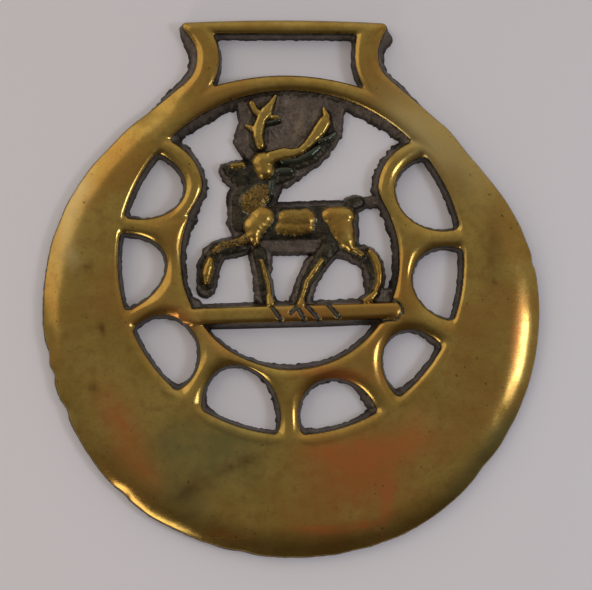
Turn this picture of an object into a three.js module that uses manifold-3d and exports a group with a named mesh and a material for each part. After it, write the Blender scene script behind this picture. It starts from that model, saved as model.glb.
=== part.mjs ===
// A cast horse brass with a standing stag: a pierced disc on a strap loop, lying on its back.
// Millimetres. +X right, +Y towards the strap loop, +Z up out of the polished front.
// The whole brass is one casting, so it is one mesh.
import * as THREE from 'three';
import { ConvexGeometry } from 'three/addons/geometries/ConvexGeometry.js';
import { mergeVertices } from 'three/addons/utils/BufferGeometryUtils.js';
import Module from 'manifold-3d';

const manifold = await Module();
manifold.setup();

// Driving dimensions. Plan positions are measured from the centre of the disc.
const DISC_R = 41.2;          // outer radius of the disc
const LOOP_TOP = 48.2;        // top of the strap loop above the centre of the disc
const FRONT = 3;              // height of the polished front above the flat back
const RIM_WIDTH = 4.5;        // the rim rolls off over this width
const RIM_DROP = 1.5;         // and comes down by this much
const RIM_FLASH = 0.2;        // rough flare of the disc at its back edge
const LOOP_DRAFT = 1.4;       // slope of the loop's outer walls, front to back
const LOOP_WALL = 0.6;        // the walls stand straight over this height at the back
const HOLE_DRAFT = 0.55;      // slope of the pierced holes' walls
const STAG_DRAFT = 1.1;       // slope of the wall round the stag's opening
const EDGE_WIDTH = 1.4;       // rounding of every pierced edge: width
const EDGE_DROP = 0.9;        // and height
const WEB = 1.2;              // height of the thin rough web behind the stag
const WEB_MARGIN = 0.9;       // the web shows this far round each limb at the back
const WEB_TAPER = 0.7;        // and by this share of it at the web's top
const CROWN_FOOT = 0.9;       // the limbs' crowns start inside the web
const OVERCUT = 0.02;         // a rounding cut runs this far past the front
const UNDERCUT = 0.5;         // and a hole's cut this far past the back
const LIP = 0.1;              // a rounding cut reaches this far down the hole's wall

// Rings of a limb's round crown, from its foot up: share of its half-width, share of its height.
const CROWN_RINGS = [[1, 0], [0.9, 0.45], [0.55, 0.85]];

// The disc isn't quite round: flat under the loop's feet, and fuller low down on both sides.
// Each row is an angle from +X in degrees, how far the rim moves out there, and over what angle.
const SWELLINGS = [[42, -2.3, 24], [122, -1.5, 25], [-132, 0.5, 14], [-62, 0.4, 16]];

// The front outline of the strap loop: each row is a point, or a curve's control points and its end.
const FACE_TOP = LOOP_TOP - LOOP_DRAFT;
const LOOP = {
  leftFoot: [-26, 29],
  leftFlare: [-20.5, 33.5, -15.6, 36, -15.6, 41],
  leftSide: [-15.6, 44, -16.7, FACE_TOP - 1.6],
  leftCorner: [-17.2, FACE_TOP - 0.4, -15.6, FACE_TOP - 0.2],
  top: [14.2, FACE_TOP],
  rightCorner: [16, FACE_TOP, 15.6, FACE_TOP - 1.4],
  rightSide: [14.6, 44, 14.6, 41],
  rightFlare: [14.6, 36.5, 19.8, 33.5, 26.2, 28.5],
  insideDisc: [0, 20],
};

// The slot for the strap, at the back: its two top corners, and three bowed sides as curves.
const SLOT = {
  topLeft: [-12.2, 45],
  leftSide: [-10.5, 41.3, -12.5, 36.9],
  foot: [-1.2, 41, 11.5, 36.6],
  rightSide: [9.9, 41.3, 10.8, 45],
};

// One circle carries the outer sides of the eight D-shaped holes and the top of the stag's opening.
const RING = { x: -0.4, y: 7.2, radius: 28.6 };

// The stag's opening, at the back: a circle between two angles, a bulge and a hollow on each side as
// control points, and a wider arc round the ring's centre between two more angles. Degrees from +X.
const OPENING = {
  x: -0.7, y: 7.4, radius: 17, start: 20, end: 156,
  leftBulge: [-15.1, 16.6, -13.4, 20.4, -15.4, 23],
  leftHollow: [-16.6, 24.8],
  topRadius: 27.3, leftCorner: 131, rightCorner: 44,
  rightHollow: [16.6, 25.4, 14.8, 24],
  rightBulge: [11.6, 20.4, 13.2, 17.2],
};
const CORNER = 0.75;          // radius in the corners of the D-shaped holes

// Each D is an oval on the ring circle, cut by it. Filed by hand, so no two are alike:
// angle from the foot, distance from the ring's centre, half axes, tilt of the long axis (degrees).
const D_HOLES = [
  [-117, 29.0, 5.9, 8.4, 18], [-86, 30.3, 6.5, 9.8, 15], [-55, 26.4, 6.1, 6.4, 55], [-20, 26.1, 6.2, 7.6, 41],
  [15, 27.6, 6.4, 7.4, 22], [48, 27.8, 5.6, 7.3, -13], [81, 27.0, 6.0, 7.0, -21], [114, 27.3, 6.3, 7.5, -38],
];

// The flat that the strap has worn on the inner side of the loop's top bar.
const STRAP_BAR = { left: -11.2, right: 9.8, y: 45.5, depth: 1 };

// The bar under the stag's hooves, a half-round torse with four slanting grooves. It rises a little
// to the right. Its flanks stand straight between two heights, and its crown narrows by a share.
const BAR = {
  left: -20, right: 17.3, y: -1.7, halfWidth: 1.45, rise: 0.4,
  flankFoot: 0.4, flankHeight: 1, top: 3.1, narrowing: 0.85,
};
const GROOVES = { from: -3.3, step: 3, count: 4, slant: 1.7, halfWidth: 0.35, depth: 0.45 };

// The stag, limb by limb. A station is x, y, half-width, height of its crown.
const STAG = {
  haunch: [[7.2, 14.2, 2.1, 2.9], [8.1, 11.8, 2.1, 2.8], [8.8, 9.8, 1.3, 2.5]],
  barrel: [[-1.4, 13.6, 2.2, 2.4], [2, 13.6, 2.2, 2.6]],
  trunk: [[-4.5, 13.5, 2.7, 1.9], [5.6, 13.5, 2.8, 1.9]],
  shoulder: [[-6.3, 14, 2.2, 2.9], [-5.3, 14.4, 2, 2.9], [-5.8, 11.2, 1.3, 2.5]],
  neck: [[-7, 16.6, 2.4, 2.2], [-6, 19.2, 2.4, 2.1], [-4.9, 22, 2, 2.3]],
  chest: [[-9, 14.6, 1.2, 1.6], [-8.4, 17.2, 1.4, 1.7]],
  head: [[-4.9, 23.1, 2.4, 2.9], [-8.5, 22.7, 1.6, 2.3], [-11.1, 22.9, 0.8, 2]],
  ear: [[-3.2, 22.6, 1.3, 2.2], [-1.2, 22.9, 1, 2]],
  rearAntler: [[-5, 24.4, 1.1, 2.8], [-1.3, 24.9, 1, 2.8], [1.4, 24.5, 0.9, 2.7], [3.3, 25.8, 0.9, 2.7],
    [4.9, 27.9, 0.9, 2.7], [5.7, 29.8, 0.9, 2.6], [5.3, 32.4, 0.3, 2.1]],
  rearTine: [[5.3, 28, 0.7, 2.4], [7.1, 28.6, 0.4, 2]],
  frontAntler: [[-5.5, 26.4, 0.5, 2.2], [-5.5, 29, 0.6, 2.4], [-4.8, 31.1, 0.8, 2.5],
    [-2.9, 34.4, 0.4, 2.1]],
  frontTine: [[-5, 31, 0.7, 2.4], [-6.9, 33.7, 0.35, 2.1]],
  lowTine: [[-5.5, 29, 0.5, 2.2], [-7.3, 29.8, 0.3, 1.9]],
  tail: [[9.4, 16.2, 1, 1.9], [10.9, 17.2, 0.9, 1.8]],
  raisedThigh: [[-5.8, 11.3, 1.4, 2.5], [-8.6, 9.9, 1.1, 2.1], [-11.6, 9.5, 0.9, 2.1],
    [-13.3, 8.7, 0.9, 2.2]],
  raisedShin: [[-13.7, 7.6, 0.8, 2.5], [-14.6, 4.6, 0.75, 2.4], [-14.9, 3.1, 0.5, 2]],
  foreleg: [[-5.4, 9.8, 1.1, 2.1], [-5.4, 7, 0.5, 2.2], [-4.6, 4.5, 0.5, 2.3], [-4.2, 0, 0.55, 2.5]],
  nearHindleg: [[6, 10.4, 1.6, 2.2], [4, 7, 0.7, 2.2], [2.5, 5, 0.6, 2.3], [1.2, 2.4, 0.5, 2.3],
    [0.9, 0, 0.6, 2.5]],
  farHindleg: [[9.2, 9.8, 1.2, 2.4], [11.2, 8.3, 0.9, 2.4], [13.3, 8, 0.6, 2.2], [14.3, 6, 0.65, 2.4],
    [14.4, 3.4, 0.55, 2.4], [13.2, 1.5, 0.5, 2.4], [11.7, 0.5, 0.5, 2.3]],
};

// Flat stretches of web that belong to no limb: x, y, half-width.
const WEB_STRIPS = {
  underJaw: [[-11, 22.6, 1.4], [-10.2, 21.5, 1.7], [-8, 19.6, 1.8]],
  breast: [[-8.6, 17.6, 2.2], [-9, 14.2, 2.2], [-8.4, 11.6, 1.8]],
  flank: [[-3, 13.6, 3.1], [4.4, 13.6, 3.2]],
  underBody: [[-6, 9.6, 1.4], [4, 10, 1.8], [9.4, 9, 1.9]],
  foreleg: [[-5.6, 8, 2], [-5.4, 4.4, 1.6], [-5.4, 1, 1.4]],
  raisedFoot: [[-13.6, 8.4, 1.9], [-14.8, 2.9, 1.6]],
  nearHock: [[3.6, 6.6, 2], [1.8, 3.4, 1.8], [1, 0.6, 2]],
  farHock: [[11.6, 8.2, 1.8], [13.2, 6.4, 1.9], [13.4, 2.4, 1.7]],
  tailToFrame: [[10.5, 17, 0.9], [15.2, 17.2, 1.2]],
  rightFoot: [[12.6, 1, 1], [17.6, 1.4, 1.6]],
  leftFoot: [[-17.4, 0.6, 1.1], [-15.6, -0.4, 0.9]],
  alongBar: [[-15, -1, 1.3], [17, -0.5, 1.4]],
};

// The web behind the antlers hangs from the frame.
const ANTLER_WEB = [[-9.8, 36], [-9, 31], [-10, 27], [-7.5, 24], [-5, 20], [-1, 19.4], [2, 21.4], [6.2, 25],
  [8.6, 28.2], [9.2, 31], [9.8, 36]];

// Fineness of the facets.
const RIM_SIDES = 96;
const OVAL_SIDES = 36;
const CURVE_STEPS = 7;
const ROUNDING_STEPS = 3;
const CROWN_SIDES = 8;
const GROOVE_SIDES = 6;
const FIT = 0.001;            // a D-shaped hole's outline is found to this
const DEGREE = Math.PI / 180;

// A closed geometry as a solid that can be joined and cut.
function solid(geometry) {
  geometry.deleteAttribute('normal');
  geometry.deleteAttribute('uv');
  const merged = mergeVertices(geometry, 1e-5);
  return new manifold.Manifold(new manifold.Mesh({
    numProp: 3,
    vertProperties: new Float32Array(merged.attributes.position.array),
    triVerts: new Uint32Array(merged.index.array),
  }));
}

// Joins a list of solids into one.
function join(solids) {
  return solids.reduce((all, next) => all.add(next));
}

// A straight prism of a plan shape between two heights.
function prism(shape, bottom, top) {
  const settings = { depth: top - bottom, bevelEnabled: false, curveSegments: CURVE_STEPS };
  return solid(new THREE.ExtrudeGeometry(shape, settings).translate(0, 0, bottom));
}

// A box between two heights, larger than the whole brass.
function slab(bottom, top) {
  const side = 4 * DISC_R;
  return solid(new THREE.BoxGeometry(side, side, top - bottom).translate(0, 0, (top + bottom) / 2));
}

// The disc's radius in a direction, as a share of its nominal radius: each swelling is a smooth hump.
function rimShare(x, y) {
  const angle = Math.atan2(y, x) / DEGREE;
  const humps = SWELLINGS.map(([middle, height, spread]) => {
    const away = Math.abs(angle - middle);
    return height * Math.exp(-((Math.min(away, 360 - away) / spread) ** 2));
  });
  return 1 + humps.reduce((sum, hump) => sum + hump, 0) / DISC_R;
}

// The disc, turned about its axis, with its rim rolled off in a quarter ellipse, then swollen.
function disc() {
  const profile = [new THREE.Vector2(0, 0), new THREE.Vector2(DISC_R + RIM_FLASH, 0)];
  const steps = ROUNDING_STEPS + 1;
  for (let i = 0; i <= steps; i += 1) {
    const turn = (i / steps) * (Math.PI / 2);
    const radius = DISC_R - RIM_WIDTH * (1 - Math.cos(turn));
    profile.push(new THREE.Vector2(radius, FRONT - RIM_DROP * (1 - Math.sin(turn))));
  }
  profile.push(new THREE.Vector2(0, FRONT));
  const geometry = new THREE.LatheGeometry(profile, RIM_SIDES).rotateX(Math.PI / 2);
  const { position } = geometry.attributes;
  for (let i = 0; i < position.count; i += 1) {
    const [x, y] = [position.getX(i), position.getY(i)];
    const share = rimShare(x, y);
    position.setXY(i, x * share, y * share);
  }
  return solid(geometry);
}

// The plan of the strap loop's front: a flat top, a narrow waist, and feet that flow into the disc.
function loopShape() {
  const shape = new THREE.Shape();
  shape.moveTo(...LOOP.leftFoot);
  shape.bezierCurveTo(...LOOP.leftFlare);
  shape.quadraticCurveTo(...LOOP.leftSide);
  shape.quadraticCurveTo(...LOOP.leftCorner);
  shape.lineTo(...LOOP.top);
  shape.quadraticCurveTo(...LOOP.rightCorner);
  shape.quadraticCurveTo(...LOOP.rightSide);
  shape.bezierCurveTo(...LOOP.rightFlare);
  shape.lineTo(...LOOP.insideDisc);
  return shape;
}

// The loop, whose outer walls round and slope outwards towards the back.
function loop() {
  const geometry = new THREE.ExtrudeGeometry(loopShape(), {
    depth: LOOP_WALL, bevelThickness: FRONT - LOOP_WALL, bevelSize: LOOP_DRAFT,
    bevelSegments: ROUNDING_STEPS, curveSegments: CURVE_STEPS,
  });
  return solid(geometry);
}

// The plan of the slot for the strap: its foot follows the stag's opening.
function slotShape() {
  const shape = new THREE.Shape();
  shape.moveTo(...SLOT.topLeft);
  shape.quadraticCurveTo(...SLOT.leftSide);
  shape.quadraticCurveTo(...SLOT.foot);
  shape.quadraticCurveTo(...SLOT.rightSide);
  return shape;
}

// A point on a circle, from its angle in degrees.
function onCircle({ x, y, radius }, angle) {
  const turn = angle * DEGREE;
  return [x + radius * Math.cos(turn), y + radius * Math.sin(turn)];
}

// The plan of the stag's opening: a circle that opens upwards between two bulges to a wider arc.
function openingShape() {
  const { x, y, radius, start, end, topRadius, leftCorner, rightCorner } = OPENING;
  const top = { x: RING.x, y: RING.y, radius: topRadius };
  const shape = new THREE.Shape();
  shape.absarc(x, y, radius, start * DEGREE, (end - 360) * DEGREE, true);
  shape.bezierCurveTo(...OPENING.leftBulge);
  shape.quadraticCurveTo(...OPENING.leftHollow, ...onCircle(top, leftCorner));
  shape.absarc(top.x, top.y, top.radius, leftCorner * DEGREE, rightCorner * DEGREE, true);
  shape.quadraticCurveTo(...OPENING.rightHollow);
  shape.bezierCurveTo(...OPENING.rightBulge, ...onCircle(OPENING, start));
  return shape;
}

// How far a point lies outside a D-shaped hole: the rounded overlap of a tilted oval and the ring disc.
function outsideD(px, py, oval) {
  const across = (px - oval.x) * oval.cos + (py - oval.y) * oval.sin;
  const along = (py - oval.y) * oval.cos - (px - oval.x) * oval.sin;
  const near = Math.hypot(across / oval.a, along / oval.b);
  const steep = Math.hypot(across / oval.a ** 2, along / oval.b ** 2);
  const fromOval = (near * (near - 1)) / Math.max(steep, 1e-6);
  const fromRing = Math.hypot(px - RING.x, py - RING.y) - RING.radius;
  const inner = Math.min(Math.max(fromOval, fromRing), -CORNER);
  return inner + Math.hypot(Math.max(fromOval + CORNER, 0), Math.max(fromRing + CORNER, 0));
}

// The plan of one D-shaped hole at the back, found by halving steps outwards from inside it.
function dShape([angle, distance, a, b, tilt]) {
  const turn = angle * DEGREE;
  const lean = (angle + tilt) * DEGREE;
  const oval = {
    x: RING.x + distance * Math.sin(turn), y: RING.y - distance * Math.cos(turn),
    a, b, cos: Math.cos(lean), sin: Math.sin(lean),
  };
  const middle = (RING.radius + distance - b) / 2;
  const midX = RING.x + middle * Math.sin(turn);
  const midY = RING.y - middle * Math.cos(turn);
  const points = Array.from({ length: OVAL_SIDES }, (_, i) => {
    const way = (i / OVAL_SIDES) * 2 * Math.PI;
    let [inside, outside] = [0, 2 * b];
    while (outside - inside > FIT) {
      const reach = (inside + outside) / 2;
      const out = outsideD(midX + reach * Math.cos(way), midY + reach * Math.sin(way), oval);
      [inside, outside] = out < -HOLE_DRAFT ? [reach, outside] : [inside, reach];
    }
    return new THREE.Vector2(midX + inside * Math.cos(way), midY + inside * Math.sin(way));
  });
  return new THREE.Shape(points);
}

// Cuts a hole that has the given plan at the back and is wider at the front by the draft.
function draftCutter(shape, draft) {
  const high = FRONT - EDGE_DROP;
  const geometry = new THREE.ExtrudeGeometry(shape, {
    depth: FRONT, bevelThickness: high + UNDERCUT, bevelSize: draft,
    bevelSegments: 1, curveSegments: CURVE_STEPS,
  });
  return solid(geometry.translate(0, 0, high));
}

// Rounds the front edge of a hole: the cut flares out in a quarter ellipse near the front.
function edgeCutter(shape, draft) {
  const geometry = new THREE.ExtrudeGeometry(shape, {
    depth: LIP, bevelThickness: EDGE_DROP + OVERCUT, bevelSize: -EDGE_WIDTH,
    bevelOffset: EDGE_WIDTH + draft, bevelSegments: ROUNDING_STEPS, curveSegments: CURVE_STEPS,
  });
  return solid(geometry.translate(0, 0, FRONT - EDGE_DROP - LIP));
}

// The strap has worn the inner side of the loop's top bar flat and square.
function strapWear() {
  const { left, right, y, depth } = STRAP_BAR;
  const box = new THREE.BoxGeometry(right - left, depth, 3 * FRONT);
  return solid(box.translate((left + right) / 2, y - depth / 2, 0));
}

// The pierced frame: disc and loop, less the slot, the stag's opening and the eight D-shaped holes.
function frame() {
  const holes = [...D_HOLES.map(dShape), slotShape()].map((shape) => [shape, HOLE_DRAFT]);
  holes.push([openingShape(), STAG_DRAFT]);
  const cuts = join(holes.map(([shape, draft]) => draftCutter(shape, draft)));
  const edges = join(holes.map(([shape, draft]) => edgeCutter(shape, draft)));
  const rounding = edges.intersect(slab(FRONT - EDGE_DROP, 2 * FRONT));
  return disc().add(loop()).subtract(cuts).subtract(rounding).subtract(strapWear());
}

// Points of a flattened round crown over one station, from its foot to its top.
function crownPoints([x, y, halfWidth, top]) {
  const points = [];
  for (const [part, rise] of CROWN_RINGS) {
    for (let i = 0; i < CROWN_SIDES; i += 1) {
      const turn = (i / CROWN_SIDES) * 2 * Math.PI;
      const reach = part * halfWidth;
      const height = CROWN_FOOT + rise * (top - CROWN_FOOT);
      points.push(new THREE.Vector3(x + reach * Math.cos(turn), y + reach * Math.sin(turn), height));
    }
  }
  points.push(new THREE.Vector3(x, y, top));
  return points;
}

// Points of a flat round pad over one station, from the back to the top of the web.
function padPoints([x, y, halfWidth], margin) {
  const points = [];
  for (const [height, reach] of [[0, halfWidth + margin], [WEB, halfWidth + WEB_TAPER * margin]]) {
    for (let i = 0; i < CROWN_SIDES; i += 1) {
      const turn = ((i + 0.5) / CROWN_SIDES) * 2 * Math.PI;
      points.push(new THREE.Vector3(x + reach * Math.cos(turn), y + reach * Math.sin(turn), height));
    }
  }
  return points;
}

// Joins the hulls over each neighbouring pair of stations into one limb.
function limb(stations, pointsAt) {
  const hulls = stations.slice(1).map((station, i) => {
    const points = [...pointsAt(stations[i]), ...pointsAt(station)];
    return solid(new ConvexGeometry(points));
  });
  return join(hulls);
}

// The stag in relief, on its web.
function stag() {
  const limbs = Object.values(STAG);
  const relief = limbs.map((stations) => limb(stations, crownPoints));
  const pads = limbs.map((stations) => limb(stations, (station) => padPoints(station, WEB_MARGIN)));
  const strips = Object.values(WEB_STRIPS).map((stations) => limb(stations, (at) => padPoints(at, 0)));
  return join([...pads, ...strips, antlerWeb(), ...relief]);
}

// The web behind the antlers: a flat sheet with a curved edge.
function antlerWeb() {
  const edge = new THREE.SplineCurve(ANTLER_WEB.map(([x, y]) => new THREE.Vector2(x, y)));
  const shape = new THREE.Shape(edge.getPoints(2 * ANTLER_WEB.length));
  return prism(shape, 0, WEB);
}

// The grooved bar: a half-round strip with a round right end.
function bar() {
  const { left, right, y, halfWidth, rise, flankFoot, flankHeight, top } = BAR;
  const shape = new THREE.Shape();
  shape.moveTo(left, y - halfWidth - rise / 2);
  shape.lineTo(right - halfWidth, y - halfWidth + rise / 2);
  shape.absarc(right - halfWidth, y + rise / 2, halfWidth, -Math.PI / 2, Math.PI / 2, false);
  shape.lineTo(left, y + halfWidth - rise / 2);
  const crown = BAR.narrowing * halfWidth;
  const geometry = new THREE.ExtrudeGeometry(shape, {
    depth: flankHeight, bevelThickness: top - flankFoot - flankHeight, bevelSize: crown,
    bevelOffset: -crown, bevelSegments: ROUNDING_STEPS, curveSegments: CURVE_STEPS,
  });
  return solid(geometry.translate(0, 0, flankFoot)).subtract(join(grooves()));
}

// The slanting grooves across the bar.
function grooves() {
  const { from, step, count, slant, halfWidth, depth } = GROOVES;
  return Array.from({ length: count }, (_, i) => {
    const reach = 3 * BAR.halfWidth;
    const geometry = new THREE.CylinderGeometry(halfWidth, halfWidth, reach, GROOVE_SIDES);
    geometry.rotateZ(Math.atan2(slant, 2 * BAR.halfWidth));
    geometry.scale(1, 1, depth / halfWidth);
    return solid(geometry.translate(from + i * step, BAR.y, BAR.top));
  });
}

// A solid as a named mesh with its finish.
function mesh(name, body, material) {
  const { numProp, vertProperties, triVerts } = body.getMesh();
  const geometry = new THREE.BufferGeometry();
  const positions = Float32Array.from(vertProperties);
  geometry.setAttribute('position', new THREE.BufferAttribute(positions, numProp));
  geometry.setIndex(new THREE.BufferAttribute(Uint32Array.from(triVerts), 1));
  geometry.computeVertexNormals();
  const piece = new THREE.Mesh(geometry, material);
  piece.name = name;
  return piece;
}

const brass = new THREE.MeshStandardMaterial({ color: 0x9a7f2e, roughness: 0.3, metalness: 1 });
const casting = join([frame(), bar(), stag()]).intersect(slab(0, 2 * FRONT));
const horseBrass = mesh('horse_brass', casting, brass);

// The origin is under the middle of the whole brass, so the disc's centre lies below it.
const middle = new THREE.Box3().setFromObject(horseBrass).getCenter(new THREE.Vector3());
horseBrass.position.set(-middle.x, -middle.y, 0);

const part = new THREE.Group();
part.add(horseBrass);
export default part;
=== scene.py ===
"""A cast horse brass with a walking stag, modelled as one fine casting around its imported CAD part.

Everything is worked out in millimetres from the centre of the disc, +X right, +Y towards the strap
loop, +Z up out of the polished front, and moved into the row's frame in metres at the end.
"""

# %% [markdown]
# # A pierced horse brass
# A horse brass is a flat ornament for harness. This one is a single sand casting: a disc with a strap
# loop, eight filed D-shaped holes round the edge, and a stag on a bar in the middle. The front
# was filed, polished and then worn by years of rubbing; everything that the polishing mop didn't reach
# still has its rough, dark casting skin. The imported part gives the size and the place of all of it.

import bpy
import numpy as np
from mathutils import Matrix, Vector
from mathutils.geometry import delaunay_2d_cdt


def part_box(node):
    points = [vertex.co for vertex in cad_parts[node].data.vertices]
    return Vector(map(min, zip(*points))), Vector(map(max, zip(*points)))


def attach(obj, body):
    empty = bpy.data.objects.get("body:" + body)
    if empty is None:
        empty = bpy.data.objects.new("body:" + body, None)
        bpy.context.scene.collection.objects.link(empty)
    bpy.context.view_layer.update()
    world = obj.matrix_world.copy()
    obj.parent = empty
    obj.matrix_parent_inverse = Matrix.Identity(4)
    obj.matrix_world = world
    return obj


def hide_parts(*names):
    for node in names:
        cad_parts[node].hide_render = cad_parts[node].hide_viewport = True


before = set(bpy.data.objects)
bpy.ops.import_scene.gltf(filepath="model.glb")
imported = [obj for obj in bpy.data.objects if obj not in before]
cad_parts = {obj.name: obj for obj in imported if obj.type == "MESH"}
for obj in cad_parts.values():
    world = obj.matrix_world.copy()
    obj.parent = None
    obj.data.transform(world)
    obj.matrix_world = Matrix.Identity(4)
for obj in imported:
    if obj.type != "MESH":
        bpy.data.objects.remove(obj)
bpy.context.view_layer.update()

LOW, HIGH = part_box("horse_brass")
MM = 0.001
LOOP_TOP = 48.2                                   # top of the loop above the disc's centre, mm
CENTRE_X = (LOW.x + HIGH.x) / 2 / MM + 0.05       # the disc's centre in the row's frame, mm
CENTRE_Y = HIGH.y / MM - LOOP_TOP
FRONT = 3.0                                       # height of the polished front, mm
print("the brass is", [round((b - a) / MM, 1) for a, b in zip(LOW, HIGH)], "mm")

# %% [markdown]
# ## Soft sums of shapes
# The whole front is one height over each point of the plan, so the shapes can be simple fields: how far
# a point lies inside an edge. Filing and casting leave no sharp inner corners, so two fields are joined
# with a small rounding. Sand leaves a random grain, which is a net of random heights joined smoothly.


# %% Field helpers
def step(value, start, end):
    """Goes from 0 at start to 1 at end along a smooth S: t squared times three less two t."""
    t = np.clip((value - start) / (end - start), 0, 1)
    return t * t * (3 - 2 * t)


def soft_max(a, b, k):
    """The larger field, with a fillet k mm wide where the two are equal."""
    near = np.maximum(k - np.abs(a - b), 0) / k
    return np.maximum(a, b) + near * near * k / 4


def soft_min(a, b, k):
    """The smaller field, with a rounding k mm wide where the two are equal."""
    return -soft_max(-a, -b, k)


def grain(x, y, size, seed):
    """Random hills from -1 to 1, size mm apart: random heights on a turned square net, joined by S steps."""
    n = 128                                       # hills along a side before the pattern repeats
    heights = np.random.default_rng(seed).uniform(-1, 1, (n, n))
    u, v = (0.8 * x + 0.6 * y) / size, (0.8 * y - 0.6 * x) / size
    i, j = np.floor(u).astype(int), np.floor(v).astype(int)
    s, t = step(u - i, 0, 1), step(v - j, 0, 1)
    row = [heights[i % n, (j + k) % n] * (1 - s) + heights[(i + 1) % n, (j + k) % n] * s
           for k in (0, 1)]
    return row[0] * (1 - t) + row[1] * t


def smooth_line(at, knots):
    """A curve through (place, value) knots: cubic pieces whose slopes are the mean slopes at the knots."""
    place, value = np.array(knots, float).T
    slope = np.gradient(value, place)
    i = np.clip(np.searchsorted(place, at) - 1, 0, len(place) - 2)
    gap = place[i + 1] - place[i]
    t = np.clip((at - place[i]) / gap, 0, 1)
    start = value[i] * (1 + 2 * t) + slope[i] * gap * t
    end = value[i + 1] * (3 - 2 * t) + slope[i + 1] * gap * (t - 1)
    return start * (1 - t) ** 2 + end * t**2


# %% [markdown]
# ## The outline
# The disc was never quite round: it is flat under the feet of the loop and fuller low down. The loop's
# sides draw in to a waist and flare again into the disc. Each row of a table says where a curve passes.

# %% Outline of the disc and the loop
RIM_WALL = 0.32                                   # how far the sloping side reaches past the front edge, mm
DISC_RADIUS = 41.2                                # mm, before the humps
TOP_BOW = 0.45                                    # how far the loop's top edge has dropped at its ends, mm
EDGE_GRAIN = 0.07                                 # unevenness of the filed edge, mm
SWELLINGS = ((42, -2.3, 24), (122, -1.5, 25), (-132, 0.5, 14), (-62, 0.4, 16))   # angle, mm, spread
DENTS = (   # x, y, depth, size, mm
    (-40.9, -7.4, 0.5, 1.3), (-39.8, -10.8, 0.4, 1.0), (-37.6, -16.6, 0.35, 1.2), (-28.5, -30.2, 0.3, 1.5),
    (40.6, 6.4, 0.3, 0.7), (36.6, 18.9, 0.25, 1.0), (30.5, -27.6, 0.25, 1.6), (-9.5, -40.2, 0.25, 1.5))
LOOP_LEFT = (    # height, then where the loop's left side is
    (23, -29.5), (26, -28.4), (29, -26.5), (32, -23.2), (34, -21), (35.5, -19.4), (37.5, -17.3),
    (39, -16.3), (41, -15.8), (43, -15.9), (45, -16.9), (46.3, -17.9), (47.5, -18.5), (48.5, -18.7))
LOOP_RIGHT = (   # the same for its right side
    (23, 28.8), (26, 27.9), (29, 25.9), (31, 23.6), (33, 21.2), (35, 18.9), (37.5, 16.5),
    (39, 15.5), (41, 14.85), (43, 14.9), (45, 15.6), (46.5, 16.4), (48.5, 16.8))


def disc_inside(x, y):
    """How far a point lies inside the disc: a radius with smooth humps, less the distance from the centre."""
    angle = np.degrees(np.arctan2(y, x))
    humps = sum(height * np.exp(-(((angle - middle + 180) % 360 - 180) / spread) ** 2)
                for middle, height, spread in SWELLINGS)
    dents = sum(depth * np.exp(-((x - a) ** 2 + (y - b) ** 2) / size**2) for a, b, depth, size in DENTS)
    return DISC_RADIUS + humps - np.hypot(x, y) - dents - EDGE_GRAIN * grain(x, y, 2.5, 11)


def loop_inside(x, y):
    """How far a point lies inside the loop's sides and inside its bowed top edge, as two fields."""
    left, right = smooth_line(y, LOOP_LEFT), smooth_line(y, LOOP_RIGHT)
    lean = [1 / np.hypot(1, smooth_line(y + 0.1, knots) / 0.1 - smooth_line(y, knots) / 0.1)
            for knots in (LOOP_LEFT, LOOP_RIGHT)]
    sides = np.minimum((x - left) * lean[0], (right - x) * lean[1])
    top = LOOP_TOP - RIM_WALL - TOP_BOW * ((x + 0.5) / 17) ** 2 - y
    return sides, top


# %% [markdown]
# ## The holes
# The holes were cored in the sand and then filed by hand, so no two D shapes are alike. Each D is a
# tilted oval cut by one large circle that all eight of them share. The strap slot is a bowed rectangle,
# and the stag's opening is a circle that widens upwards between the ribs of the topmost two D holes.

# %% Outlines of the holes
RING_X, RING_Y, RING_R = -0.4, 7.2, 28.6          # the circle that cuts the D holes, mm
OPENING_X, OPENING_Y, OPENING_R = -0.7, 7.4, 18.1  # the circle of the stag's opening
D_CORNER = 0.75                                   # rounding of a D's two corners
SLOT_FOOT, SLOT_MIDDLE, SLOT_TOP = 38.35, 41.5, 45.5
SLOT_LEFT, SLOT_RIGHT = -12, 10.8                 # at the middle of the slot's height
FIRST_RIB, LAST_RIB = 2.75, 2.95                  # width of the ribs beside the topmost two D holes
D_HOLES = (   # angle from the foot, distance from the ring's centre, half axes, tilt
    (-117, 29.0, 5.9, 8.4, 18), (-86, 30.3, 6.5, 9.8, 15), (-55, 26.4, 6.1, 6.4, 55),
    (-20, 26.1, 6.2, 7.6, 41), (15, 27.6, 6.4, 7.4, 22), (48, 27.8, 5.6, 7.3, -13),
    (81, 27.0, 6.0, 7.0, -21), (114, 27.3, 6.3, 7.5, -38))


def d_outside(x, y, angle, distance, across, along, tilt):
    """How far a point lies outside a D hole: the rounded overlap of a tilted oval and the shared circle."""
    turn, lean = np.radians(angle), np.radians(angle + tilt)
    dx = x - RING_X - distance * np.sin(turn)
    dy = y - RING_Y + distance * np.cos(turn)
    u, v = dx * np.cos(lean) + dy * np.sin(lean), dy * np.cos(lean) - dx * np.sin(lean)
    near = np.hypot(u / across, v / along)
    steep = np.hypot(u / across**2, v / along**2)
    from_oval = near * (near - 1) / np.maximum(steep, 1e-6)
    from_ring = np.hypot(x - RING_X, y - RING_Y) - RING_R
    inner = np.minimum(np.maximum(from_oval, from_ring), -D_CORNER)
    outer = np.hypot(np.maximum(from_oval + D_CORNER, 0), np.maximum(from_ring + D_CORNER, 0))
    return inner + outer, from_ring - from_oval


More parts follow.
